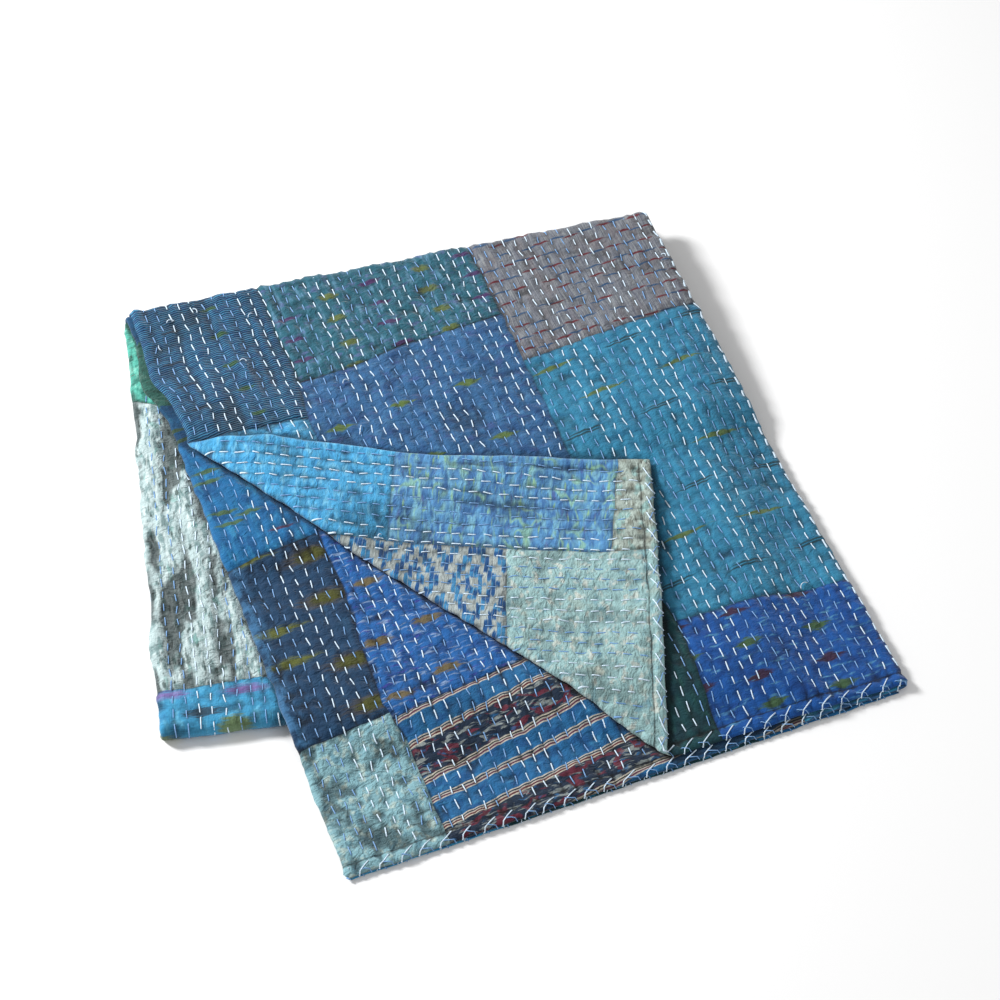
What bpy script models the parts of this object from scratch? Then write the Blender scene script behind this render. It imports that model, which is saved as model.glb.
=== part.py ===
"""Kantha quilt: a hand-stitched patchwork throw, folded into a flat pack on a table.

One piece of cloth is laid out flat, scored along every line where it bends, and then
folded in the order in which a person folds it:

1. the corner between the side edge and the hem is turned over,
2. the width is folded in thirds, like a Z,
3. the strip is folded back and forth across its length, in four lengths,
4. the upper lengths sink on to the table where nothing lies under them.

Frame: metres, +Z up, rows of stitching of the top length along Y, hem towards -Y.
"""

import math

import bpy
import numpy as np
from mathutils import Vector
from mathutils.geometry import delaunay_2d_cdt

# --- Driving dimensions, metres -------------------------------------------------------
SHEET_WIDTH = 1.25       # across the rows of stitching (u)
SHEET_LENGTH = 1.52      # along the rows of stitching (v)
CLOTH = 0.0016           # thickness of the layers sewn together
PITCH = 0.0024           # from one folded third to the next
SLAB_PITCH = 0.0070      # from one folded length to the next

TOP_WIDTH = 0.413        # thirds of the width, without the bends between them
MIDDLE_WIDTH = 0.418
BEND_X = 0.209           # where the right-hand bend of the thirds starts
HEM_Y = -0.262           # where the hem of the top length lies

BACK_Y = 0.2286          # back fold: where it crosses X = 0, and its slant
BACK_SLANT = math.radians(-6.4)
FRONT_V = 0.8960         # second fold, square to the strip: distance from the hem
INNER_MARGIN = 0.004     # the third fold stays this far inside the back fold

CORNER_SIDE = 0.376      # turned corner: its fold starts this far up the side edge
CORNER_HEM = 0.238       # and ends this far along the hem
CORNER_RADIUS = 0.0020
CORNER_SETTLE = 0.030    # the turned corner comes down to the pitch over this width

SINK_LONG = 0.060        # widths over which the cloth sinks beside what carries it
SINK_SHORT = 0.044

ROW_PITCH = 0.0095       # from one row of running stitch to the next
PUFF = 0.00035           # height of the cloth between two rows

# The hem isn't straight: (distance along it, how far it lies behind HEM_Y).
HEM = ((-0.015, 0.026), (0.12, 0.013), (0.24, 0.004), (0.41, -0.001), (0.43, -0.003),
       (0.83, -0.003), (SHEET_WIDTH, -0.004))
# Nor is the side edge of the top third: (distance from the hem, how far it is drawn in).
SIDE_EDGE = ((0.30, 0.003), (0.375, 0.008), (0.42, 0.002), (0.47, 0.0))

SINK_STEPS = 4           # flat steps in which a slope is built
REACH = 3.0              # longer than any line on the sheet

# --- Derived values -------------------------------------------------------------------
THIRD_RADIUS = PITCH / 2
THIRD_BEND = math.pi * THIRD_RADIUS
SLAB_RADIUS = SLAB_PITCH / 2
SLAB_BEND = math.pi * SLAB_RADIUS
CORNER_BEND = math.pi * CORNER_RADIUS
SLAB_THICKNESS = 2 * PITCH + CLOTH
STACK_LIFT = 3 * SLAB_PITCH + SLAB_THICKNESS / 2

U_FIRST = TOP_WIDTH
U_SECOND = TOP_WIDTH + THIRD_BEND + MIDDLE_WIDTH
SIDE_X = BEND_X - TOP_WIDTH
FAR_X = BEND_X - MIDDLE_WIDTH
EDGE_X = BEND_X + THIRD_RADIUS + CLOTH / 2

RIGHT = np.array([1.0, 0.0])
FORWARD = np.array([0.0, 1.0])


def slanted(angle):
    """Normal of a fold line that slants by angle from the X axis."""
    return np.array([-math.sin(angle), math.cos(angle)])


BACK_POINT = np.array([0.0, BACK_Y])
FRONT_POINT = np.array([0.0, FRONT_V + HEM_Y])
INNER_V = 2 * FRONT_V - (BACK_Y - HEM_Y) + SLAB_BEND * (1 - 1 / math.cos(BACK_SLANT)) - INNER_MARGIN
INNER_POINT = np.array([0.0, INNER_V + HEM_Y])

CORNER_A = np.array([SIDE_X, CORNER_SIDE + HEM_Y])
CORNER_B = np.array([SIDE_X + CORNER_HEM, HEM_Y])
CORNER_RUN = (CORNER_B - CORNER_A) / np.linalg.norm(CORNER_B - CORNER_A)
CORNER_NORMAL = np.array([CORNER_RUN[1], -CORNER_RUN[0]])


# --- Folding --------------------------------------------------------------------------
def bend(points, at, normal, radius, turn):
    """Fold what lies beyond a line half round a cylinder: turn 1 goes over, -1 under."""
    beyond = (points[:, :2] - at) @ normal
    angle = np.clip(beyond / radius, 0.0, math.pi)
    arm = radius - turn * points[:, 2]
    along = np.where(beyond > 0, arm * np.sin(angle) - np.maximum(beyond - math.pi * radius, 0), beyond)
    height = np.where(beyond > 0, turn * (radius - arm * np.cos(angle)), points[:, 2])
    moved = points.copy()
    moved[:, :2] += np.outer(along - beyond, normal)
    moved[:, 2] = height
    return moved


def mirror(points, at, normal, radius):
    """The same fold for lines drawn on the table: where they come from on the flat strip."""
    beyond = (points - at) @ normal
    return points + np.outer(math.pi * radius - 2 * beyond, normal)


def ease(distance, width):
    """From 0 to 1 over a width, straight between the lines that are scored for it."""
    steps = np.linspace(0.0, 1.0, SINK_STEPS + 1)
    return np.interp(distance / width, steps, steps * steps * (3 - 2 * steps))


LOWER_RUN = slanted(2 * BACK_SLANT)
FRONT_NORMAL = -LOWER_RUN
SIDE_NORMAL = np.array([LOWER_RUN[1], -LOWER_RUN[0]])
FRONT_LINE = mirror(FRONT_POINT[None], BACK_POINT, slanted(BACK_SLANT), SLAB_RADIUS)[0]
SIDE_LINE = np.array([EDGE_X, BACK_Y + EDGE_X * math.tan(BACK_SLANT) + 0.005])
END_Y = BACK_Y - INNER_MARGIN - (SHEET_LENGTH - INNER_V - SLAB_BEND)

# Corners of what carries the cloth: the place, the two ways out past its edges, and the
# width over which cloth sinks there, beside the fourth length and beside the lower two.
FOURTH_CORNER = (np.array([-EDGE_X, END_Y]), -FORWARD, -RIGHT, SINK_SHORT)
LOWER_REACH = float((SIDE_LINE - FRONT_LINE) @ SIDE_NORMAL)
LOWER_CORNER = (FRONT_LINE + FRONT_NORMAL * SLAB_RADIUS + SIDE_NORMAL * LOWER_REACH,
                FRONT_NORMAL, SIDE_NORMAL, SINK_LONG)


def sink(plan, corner):
    """How far cloth at a place on the plan has sunk past its carrier, from 0 to 1."""
    at, out, aside, width = corner
    return ease(np.maximum((plan - at) @ out, (plan - at) @ aside), width)


def fold(u, v, w):
    """Carry points w above the middle of the flat sheet to where they lie in the pack."""
    points = np.column_stack([u + SIDE_X, v + HEM_Y, w])

    turned = (points[:, :2] - CORNER_A) @ CORNER_NORMAL - CORNER_BEND
    points = bend(points, CORNER_A, CORNER_NORMAL, CORNER_RADIUS, 1)
    points[:, 2] -= (2 * CORNER_RADIUS - PITCH) * ease(turned, CORNER_SETTLE)

    second = np.array([U_SECOND + SIDE_X, 0.0])
    points = bend(points, second, RIGHT, THIRD_RADIUS, 1)
    points = bend(points, np.array([BEND_X, 0.0]), RIGHT, THIRD_RADIUS, -1)
    points[:, 2] += PITCH

    strip = points[:, :2].copy()
    points = bend(points, INNER_POINT, slanted(-BACK_SLANT), SLAB_RADIUS, -1)
    points = bend(points, FRONT_POINT, FORWARD, SLAB_RADIUS, 1)
    points = bend(points, BACK_POINT, slanted(BACK_SLANT), SLAB_RADIUS, -1)
    points[:, 2] += STACK_LIFT

    top = (strip - BACK_POINT) @ slanted(BACK_SLANT) < 0
    above_fourth = (strip - INNER_POINT) @ slanted(-BACK_SLANT) < 0
    points[:, 2] -= SLAB_PITCH * above_fourth * sink(points[:, :2], FOURTH_CORNER)
    points[:, 2] -= 2 * SLAB_PITCH * top * sink(points[:, :2], LOWER_CORNER)
    return points


# --- Scoring the flat sheet -----------------------------------------------------------
def cut(line, limits):
    """The stretch of a line inside limits, each a point and the way out, or None."""
    start, end = (np.asarray(point, float) for point in line)
    low, high = 0.0, 1.0
    for at, out in limits:
        first, last = (start - at) @ out, (end - at) @ out
        if first > 0 and last > 0:
            return None
        if first > 0:
            low = max(low, first / (first - last))
        elif last > 0:
            high = min(high, first / (first - last))
    if high - low < 1e-4:
        return None
    return start + (end - start) * low, start + (end - start) * high


def sink_lines(corner):
    """Lines on the table along which the sinking cloth changes its slope."""
    at, out, aside, width = corner
    yield at, at + (out + aside) * width
    for step in range(SINK_STEPS + 1):
        turn = at + (out + aside) * width * step / SINK_STEPS
        yield turn, turn - aside * REACH
        yield turn, turn - out * REACH


def strip_limits(low, high, left=FAR_X):
    """Limits of a length of the strip, between two folds, each a point and a slant."""
    return [(low[0], -slanted(low[1])), (high[0], slanted(high[1])),
            (np.array([BEND_X, 0.0]), RIGHT), (np.array([left, 0.0]), -RIGHT)]


HEM_LINE = (np.array([0.0, HEM_Y - SLAB_PITCH]), 0.0)
BACK_FOLD = (BACK_POINT, BACK_SLANT)
BACK_END = (BACK_POINT + slanted(BACK_SLANT) * SLAB_BEND, BACK_SLANT)
FRONT_FOLD = (FRONT_POINT, 0.0)
FRONT_END = (FRONT_POINT + FORWARD * SLAB_BEND, 0.0)
INNER_FOLD = (INNER_POINT, -BACK_SLANT)
TOP_LENGTH = strip_limits(HEM_LINE, BACK_FOLD)
TOP_THIRD = strip_limits(HEM_LINE, BACK_FOLD, FAR_X - 0.02)
SECOND_LENGTH = strip_limits(BACK_END, FRONT_FOLD)
THIRD_LENGTH = strip_limits(FRONT_END, INNER_FOLD)
BEFORE_CORNER = [(CORNER_A, CORNER_NORMAL)]
IN_CORNER = [(CORNER_A + CORNER_NORMAL * CORNER_BEND, -CORNER_NORMAL)]


def to_third(line, third):
    """A line on the strip, as it lies on one of the three thirds of the flat sheet."""
    for x, y in line:
        if third == 0:
            yield np.array([x - SIDE_X, y - HEM_Y])
        elif third == 1:
            yield np.array([U_FIRST + THIRD_BEND + BEND_X - x, y - HEM_Y])
        else:
            yield np.array([U_SECOND + THIRD_BEND + x - FAR_X, y - HEM_Y])


def round_bends(line, third):
    """Carry a line that reaches the bend of a third or of the corner straight across it."""
    for x, y in line:
        for bend_x, u, thirds in ((BEND_X, U_FIRST, (0, 1)), (FAR_X, U_SECOND, (1, 2))):
            if third in thirds and abs(x - bend_x) < 1e-6:
                yield (u, y - HEM_Y), (u + THIRD_BEND, y - HEM_Y)
        point = np.array([x, y])
        if third == 0 and abs((point - CORNER_A) @ CORNER_NORMAL) < 1e-6:
            yield tuple(to_third((point, point + CORNER_NORMAL * CORNER_BEND), 0))


def unfold_lines(lines, length):
    """Lines drawn on the table, brought back on to the first, second or third length."""
    for line in lines:
        points = np.array(line)
        if length > 0:
            points = mirror(points, BACK_POINT, slanted(BACK_SLANT), SLAB_RADIUS)
        if length > 1:
            points = mirror(points, FRONT_POINT, FORWARD, SLAB_RADIUS)
        yield points


def rows(third, limits):
    """Lines of the quilting: the rows of stitches, and the ridges halfway between them."""
    count = int(SHEET_WIDTH / ROW_PITCH * 2)
    starts = (0.0, U_FIRST + THIRD_BEND, U_SECOND + THIRD_BEND)
    ends = (U_FIRST, U_SECOND, SHEET_WIDTH)
    for index in range(1, count + 1):
        u = index * ROW_PITCH / 2
        if not starts[third] + 0.001 < u < ends[third] - 0.001:
            continue
        x = (u + SIDE_X, BEND_X - (u - starts[1]), FAR_X + u - starts[2])[third]
        line = cut(((x, HEM_Y - 1.0), (x, HEM_Y + 3.0)), limits)
        if line is not None:
            yield tuple(to_third(line, third))


# Where the quilting shows besides the top third: beside the turned corner, on the second
# third, and on the strip of the second length that is fanned out to the left.
SHOWN_SECOND = TOP_LENGTH + [(CORNER_A - CORNER_NORMAL * 0.012, -CORNER_NORMAL)]
FAN_NORMAL = np.array([math.cos(2 * BACK_SLANT), math.sin(2 * BACK_SLANT)])
FAN_POINT = mirror(np.array([[-EDGE_X + 0.006, 0.0]]), BACK_POINT, slanted(BACK_SLANT), SLAB_RADIUS)[0]
SHOWN_FAN = SECOND_LENGTH + [(FAN_POINT, FAN_NORMAL)]


def scored_lines():
    """Every line of the flat sheet along which the solid's faces meet."""
    lines = []
    for start in (U_FIRST, U_SECOND):
        for step in range(5):
            u = start + THIRD_BEND * step / 4
            lines.append(((u, -SLAB_PITCH), (u, SHEET_LENGTH)))

    across = [(0, TOP_WIDTH, SIDE_X, 1), (U_FIRST + THIRD_BEND, MIDDLE_WIDTH, BEND_X, -1),
              (U_SECOND + THIRD_BEND, SHEET_WIDTH - U_SECOND - THIRD_BEND, FAR_X, 1)]
    folds = ((BACK_POINT, BACK_SLANT), (FRONT_POINT, 0.0), (INNER_POINT, -BACK_SLANT))
    for at, slant in folds:
        for step in range(6):
            base = at[1] - HEM_Y + SLAB_BEND * step / 5 / math.cos(slant)
            ends = [(u + width * far, base + math.tan(slant) * (x + way * width * far))
                    for u, width, x, way in across for far in (0, 1)]
            lines.extend(zip(ends, ends[1:]))

    corner = [CORNER_BEND * step / 5 for step in range(6)]
    corner += [CORNER_BEND + CORNER_SETTLE * step / SINK_STEPS for step in range(1, SINK_STEPS + 1)]
    sheet_corner = [TOP_THIRD[0], TOP_THIRD[3]]
    for beyond in corner:
        at = CORNER_A + CORNER_NORMAL * beyond
        line = cut((at - CORNER_RUN, at + CORNER_RUN), sheet_corner)
        lines.append(tuple(to_third(line, 0)))

    for corner, fourth in ((FOURTH_CORNER, True), (LOWER_CORNER, False)):
        table = list(sink_lines(corner))
        for third in range(3):
            places = [(0, TOP_THIRD + BEFORE_CORNER if third == 0 else TOP_LENGTH)]
            if fourth:
                places += [(1, SECOND_LENGTH), (2, THIRD_LENGTH)]
            for length, limits in places:
                for line in unfold_lines(table, length):
                    stretch = cut(line, limits)
                    if stretch is not None:
                        lines.append(tuple(to_third(stretch, third)))
                        lines.extend(round_bends(stretch, third))
        for line in table:
            turned = mirror(np.array(line), CORNER_A, CORNER_NORMAL, CORNER_RADIUS)
            stretch = cut(turned, IN_CORNER + sheet_corner)
            if stretch is not None:
                lines.append(tuple(to_third(stretch, 0)))

    lines.extend(rows(0, TOP_THIRD + BEFORE_CORNER))
    lines.extend(rows(0, TOP_THIRD + IN_CORNER))
    lines.extend(rows(1, SHOWN_SECOND))
    lines.extend(rows(2, SHOWN_FAN))
    return lines


def inside(strip, limits, margin=0.0015):
    """Which points of the strip lie well inside the limits."""
    within = np.ones(len(strip), bool)
    for at, out in limits:
        within &= (strip - at) @ out < -margin
    return within


def puffs(u, v):
    """How far the face of the patches (front) and the reverse (back) stand proud."""
    third = np.searchsorted([U_FIRST, U_SECOND], u)
    x = np.choose(third, [u + SIDE_X, BEND_X - (u - U_FIRST - THIRD_BEND),
                          FAR_X + u - U_SECOND - THIRD_BEND])
    strip = np.column_stack([x, v + HEM_Y])
    ridge = np.where(np.abs((u / ROW_PITCH) % 1 - 0.5) < 0.05, PUFF, 0.0)
    front = (third == 0) & inside(strip, TOP_THIRD + BEFORE_CORNER)
    back = (third == 0) & inside(strip, TOP_THIRD + IN_CORNER)
    back |= (third == 1) & inside(strip, SHOWN_SECOND)
    back |= (third == 2) & inside(strip, SHOWN_FAN)
    return ridge * front, ridge * back


def quilt_mesh(name):
    """The folded cloth as one closed solid."""
    outline = list(HEM) + [(SHEET_WIDTH, SHEET_LENGTH), (0.0, SHEET_LENGTH)]
    outline += [(drawn_in, along) for along, drawn_in in reversed(SIDE_EDGE)]
    ends = [Vector(point) for point in outline]
    links = []
    for start, end in scored_lines():
        links.append((len(ends), len(ends) + 1))
        ends += [Vector((float(start[0]), float(start[1]))), Vector((float(end[0]), float(end[1])))]
    sheet = list(range(len(outline)))
    flat, _, faces, _, _, sheets = delaunay_2d_cdt(ends, links, [sheet], 1, 2e-5)
    faces = [face for face, within in zip(faces, sheets) if within]
    used = sorted({index for face in faces for index in face})
    place = {index: order for order, index in enumerate(used)}
    faces = [tuple(place[index] for index in face) for face in faces]
    u = np.array([flat[index].x for index in used])
    v = np.array([flat[index].y for index in used])

    front, back = puffs(u, v)
    upper = fold(u, v, CLOTH / 2 + front)
    lower = fold(u, v, -CLOTH / 2 - back)
    count = len(used)

    edge_uses = {}
    for face in faces:
        for start, end in zip(face, face[1:] + face[:1]):
            edge_uses[start, end] = True
    rim = [(start, end) for start, end in edge_uses if (end, start) not in edge_uses]
    shell = list(faces)
    shell += [tuple(index + count for index in reversed(face)) for face in faces]
    for start, end in rim:
        shell += [(end, start, start + count), (end, start + count, end + count)]

    mesh = bpy.data.meshes.new(name)
    mesh.from_pydata(np.vstack([upper, lower]).tolist(), [], shell)
    mesh.validate()
    return mesh


def material(name, colour, roughness):
    """A plain cloth finish."""
    finish = bpy.data.materials.new(name)
    finish.use_nodes = True
    shader = finish.node_tree.nodes["Principled BSDF"]
    shader.inputs["Base Color"].default_value = (*colour, 1.0)
    shader.inputs["Roughness"].default_value = roughness
    shader.inputs["Metallic"].default_value = 0.0
    return finish


def centre_on_table(mesh):
    """Put the middle of the pack's footprint at the origin, its underside at Z = 0."""
    points = np.array([vertex.co[:] for vertex in mesh.vertices])
    low, high = points.min(axis=0), points.max(axis=0)
    middle = (low + high) / 2
    offset = np.array([middle[0], middle[1], low[2]])
    for vertex, point in zip(mesh.vertices, points - offset):
        vertex.co = point


def main():
    for thing in list(bpy.data.objects):
        bpy.data.objects.remove(thing, do_unlink=True)
    mesh = quilt_mesh("quilt")
    centre_on_table(mesh)
    quilt = bpy.data.objects.new("quilt", mesh)
    quilt.data.materials.append(material("patched_cotton", (0.05, 0.20, 0.38), 0.9))
    bpy.context.scene.collection.objects.link(quilt)


main()
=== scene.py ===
"""Looks of the folded kantha quilt: patched cloth, running stitches, hems, floor and light."""

import math

import bpy
import numpy as np
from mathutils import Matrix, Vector
from mathutils.geometry import delaunay_2d_cdt


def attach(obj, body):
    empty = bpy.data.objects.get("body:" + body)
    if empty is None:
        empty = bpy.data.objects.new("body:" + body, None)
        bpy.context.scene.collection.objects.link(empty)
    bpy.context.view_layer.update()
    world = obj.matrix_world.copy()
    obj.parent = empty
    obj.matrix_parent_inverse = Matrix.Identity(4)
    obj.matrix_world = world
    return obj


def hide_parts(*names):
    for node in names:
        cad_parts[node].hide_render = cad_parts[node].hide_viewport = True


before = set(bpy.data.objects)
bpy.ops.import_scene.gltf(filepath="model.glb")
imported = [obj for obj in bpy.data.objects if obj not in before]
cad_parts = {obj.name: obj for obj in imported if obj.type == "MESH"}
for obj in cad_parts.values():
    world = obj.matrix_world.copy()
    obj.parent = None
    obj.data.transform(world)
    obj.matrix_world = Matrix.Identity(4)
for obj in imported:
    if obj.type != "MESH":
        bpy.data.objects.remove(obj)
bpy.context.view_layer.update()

# --- The sheet and its folds, metres (the same values as the solid) ---
SHEET_WIDTH, SHEET_LENGTH = 1.25, 1.52
CLOTH, PITCH, SLAB_PITCH = 0.0016, 0.0024, 0.007
TOP_WIDTH, MIDDLE_WIDTH, BEND_X, HEM_Y = 0.413, 0.418, 0.209, -0.262
BACK_Y, BACK_SLANT, FRONT_V, INNER_MARGIN = 0.2286, math.radians(-6.4), 0.896, 0.004
CORNER_SIDE, CORNER_HEM, CORNER_RADIUS, CORNER_SETTLE = 0.376, 0.238, 0.002, 0.03
SINK_LONG, SINK_SHORT = 0.06, 0.044
HEM = np.array([(-15, 26), (120, 13), (240, 4), (410, -1), (430, -3), (830, -3), (1250, -4)]) / 1000
SIDE_EDGE = np.array([(26, -15), (190, -5), (250, -9), (310, -11), (350, -6), (380, 2), (420, 1), (450, 1),
                      (480, -2), (530, -4), (620, 0), (1520, 0)]) / 1000


def hem_at(u):
    return np.interp(u, HEM[:, 0], HEM[:, 1])


def side_at(v):
    return np.interp(v, SIDE_EDGE[:, 0], SIDE_EDGE[:, 1])


ROW_FIRST, ROW_PITCH = 0.0072, 0.00903     # rows of running stitch, measured across them

# How high and wide the soft forms are that the flat folds don't have.
FLAP_LIFT, CORNER_ARCH, EDGE_BULGE, PACK_SWELL = 0.008, 0.0078, 0.0085, 0.0011
BULGE_V, BULGE_LENGTH = 0.448, 0.026     # where the left edge bulges, near the back
WOBBLE_U, WOBBLE_V = 0.0009, 0.0007     # unevenness within the cloth

THIRD_RADIUS, SLAB_RADIUS = PITCH / 2, SLAB_PITCH / 2
THIRD_BEND, SLAB_BEND, CORNER_BEND = math.pi * THIRD_RADIUS, math.pi * SLAB_RADIUS, math.pi * CORNER_RADIUS
STACK_LIFT = 3 * SLAB_PITCH + (2 * PITCH + CLOTH) / 2
U_FIRST = TOP_WIDTH
U_SECOND = TOP_WIDTH + THIRD_BEND + MIDDLE_WIDTH
SIDE_X, FAR_X = BEND_X - TOP_WIDTH, BEND_X - MIDDLE_WIDTH
EDGE_X = BEND_X + THIRD_RADIUS + CLOTH / 2
RIGHT, FORWARD = np.array([1.0, 0.0]), np.array([0.0, 1.0])


def slanted(angle):
    """Unit normal of a fold line that runs across the pack, turned by an angle."""
    return np.array([-math.sin(angle), math.cos(angle)])


def past(strip, at, slant):
    """How far points lie past a fold line that crosses the pack."""
    return (strip - at) @ slanted(slant)


BACK_POINT, FRONT_POINT = np.array([0.0, BACK_Y]), np.array([0.0, FRONT_V + HEM_Y])
INNER_V = 2 * FRONT_V - (BACK_Y - HEM_Y) + SLAB_BEND * (1 - 1 / math.cos(BACK_SLANT)) - INNER_MARGIN
INNER_POINT = np.array([0.0, INNER_V + HEM_Y])
CORNER_A = np.array([SIDE_X, CORNER_SIDE + HEM_Y])
CORNER_B = np.array([SIDE_X + CORNER_HEM, HEM_Y])
CORNER_RUN = (CORNER_B - CORNER_A) / np.linalg.norm(CORNER_B - CORNER_A)
CORNER_NORMAL = np.array([CORNER_RUN[1], -CORNER_RUN[0]])


def bend(points, at, normal, radius, turn):
    """Fold what lies beyond a line half round a cylinder: turn 1 goes over, -1 under."""
    beyond = (points[:, :2] - at) @ normal
    angle = np.clip(beyond / radius, 0.0, math.pi)
    arm = radius - turn * points[:, 2]
    along = np.where(beyond > 0, arm * np.sin(angle) - np.maximum(beyond - math.pi * radius, 0), beyond)
    height = np.where(beyond > 0, turn * (radius - arm * np.cos(angle)), points[:, 2])
    moved = points.copy()
    moved[:, :2] += np.outer(along - beyond, normal)
    moved[:, 2] = height
    return moved


def mirror(points, at, normal, radius):
    """Where points beyond a fold line come down once the cloth is folded over."""
    return points + np.outer(math.pi * radius - 2 * ((points - at) @ normal), normal)


def smooth(value):
    """0 up to 0, 1 from 1, smooth between them."""
    value = np.clip(value, 0.0, 1.0)
    return value * value * (3 - 2 * value)


# --- Noise ---
LATTICE = np.random.default_rng(41).uniform(-1, 1, (256, 256))


def noise(x, y, seed=0):
    """Smooth noise from -1 to 1, one bump to the unit."""
    x, y = x + 17.3 * seed, y + 9.7 * seed
    i, j = np.floor(x).astype(int), np.floor(y).astype(int)
    s, t = x - i, y - j
    s, t = s * s * (3 - 2 * s), t * t * (3 - 2 * t)

    def at(a, b):
        return LATTICE[(i + a) % 256, (j + b) % 256]

    return (at(0, 0) * (1 - s) + at(1, 0) * s) * (1 - t) + (at(0, 1) * (1 - s) + at(1, 1) * s) * t


# Corners of the layers below, past which the layers above sink: (at, outward normals, width).
LOWER_RUN = slanted(2 * BACK_SLANT)
FRONT_NORMAL, SIDE_NORMAL = -LOWER_RUN, np.array([LOWER_RUN[1], -LOWER_RUN[0]])
FRONT_LINE = mirror(FRONT_POINT[None], BACK_POINT, slanted(BACK_SLANT), SLAB_RADIUS)[0]
SIDE_LINE = np.array([EDGE_X, BACK_Y + EDGE_X * math.tan(BACK_SLANT) + 0.005])
END_Y = BACK_Y - INNER_MARGIN - (SHEET_LENGTH - INNER_V - SLAB_BEND)
FOURTH_CORNER = (np.array([-EDGE_X, END_Y]), -FORWARD, -RIGHT, SINK_SHORT)
LOWER_CORNER = (FRONT_LINE + FRONT_NORMAL * SLAB_RADIUS
                + SIDE_NORMAL * float((SIDE_LINE - FRONT_LINE) @ SIDE_NORMAL),
                FRONT_NORMAL, SIDE_NORMAL, SINK_LONG)


def sink(plan, corner):
    """How far each point has sunk past a lower corner, 0 to 1."""
    at, out, aside, width = corner
    return smooth(np.maximum((plan - at) @ out, (plan - at) @ aside) / width)


def corner_lift(plan):
    """The turned corner doesn't lie flat where its fold leaves the side edge: it arches."""
    along, inward = (plan - CORNER_A) @ CORNER_RUN, -(plan - CORNER_A) @ CORNER_NORMAL
    rise = smooth((along + 0.07) / 0.075) * (1 - smooth((along - 0.02) / 0.15))
    return CORNER_ARCH * rise * (0.45 + 0.55 * smooth(inward / 0.022)) * (1 - smooth((inward - 0.025) / 0.085))


def fold(u, v, w):
    """Carry points w above the middle of the flat sheet to where they lie in the pack."""
    points = np.column_stack([u + SIDE_X, v + HEM_Y, w])
    turned = (points[:, :2] - CORNER_A) @ CORNER_NORMAL - CORNER_BEND
    points = bend(points, CORNER_A, CORNER_NORMAL, CORNER_RADIUS, 1)
    points[:, 2] -= (2 * CORNER_RADIUS - PITCH) * smooth(turned / CORNER_SETTLE)
    hem_lift = (1 - smooth((v - 0.004) / 0.075)) * (0.5 + 0.5 * smooth((u + 0.015) / 0.035))
    points[:, 2] += FLAP_LIFT * hem_lift * (1 - smooth((u - 0.08) / 0.13)) * (turned > 0)
    points = bend(points, np.array([U_SECOND + SIDE_X, 0.0]), RIGHT, THIRD_RADIUS, 1)
    points = bend(points, np.array([BEND_X, 0.0]), RIGHT, THIRD_RADIUS, -1)
    points[:, 2] += PITCH
    strip = points[:, :2].copy()
    points = bend(points, INNER_POINT, slanted(-BACK_SLANT), SLAB_RADIUS, -1)
    points = bend(points, FRONT_POINT, FORWARD, SLAB_RADIUS, 1)
    points = bend(points, BACK_POINT, slanted(BACK_SLANT), SLAB_RADIUS, -1)
    points[:, 2] += STACK_LIFT
    top = past(strip, BACK_POINT, BACK_SLANT) < 0
    above_fourth = past(strip, INNER_POINT, -BACK_SLANT) < 0
    points[:, 2] -= SLAB_PITCH * above_fourth * sink(points[:, :2], FOURTH_CORNER)
    points[:, 2] -= 2 * SLAB_PITCH * top * sink(points[:, :2], LOWER_CORNER)
    first_third = top * (u < U_FIRST + THIRD_BEND)
    points[:, 2] += corner_lift(points[:, :2]) * first_third
    left = top * (1 - smooth((points[:, 0] + 0.215) / 0.07))
    points[:, 0] -= EDGE_BULGE * left * np.exp(-((v - BULGE_V) / BULGE_LENGTH) ** 2)
    points[:, 0] += WOBBLE_U * noise(u / 0.013, v / 0.0105, 12)
    points[:, 1] += WOBBLE_V * noise(u / 0.011, v / 0.015, 13)
    swell = PACK_SWELL * noise(points[:, 0] / 0.085 + 3.1, points[:, 1] / 0.07 + 1.7, 8)
    points[:, 2] += swell * points[:, 2] / 0.03
    return points


SHIFT = np.array([0.0421363, 0.0021554, 0.0])     # the pack's footprint is centred

# --- Where each face of the sheet shows ---
FAN_NORMAL = np.array([math.cos(2 * BACK_SLANT), math.sin(2 * BACK_SLANT)])
FAN_POINT = mirror(np.array([[-EDGE_X, 0.0]]), BACK_POINT, slanted(BACK_SLANT), SLAB_RADIUS)[0]


def on_strip(u, v):
    """Third of the width, and the place on the strip once the thirds are folded."""
    third = np.searchsorted([U_FIRST + THIRD_BEND / 2, U_SECOND + THIRD_BEND / 2], u)
    x = np.choose(third, [u + SIDE_X, BEND_X - (u - U_FIRST - THIRD_BEND),
                          FAR_X + u - U_SECOND - THIRD_BEND])
    return third, np.column_stack([x, v + HEM_Y])


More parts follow.
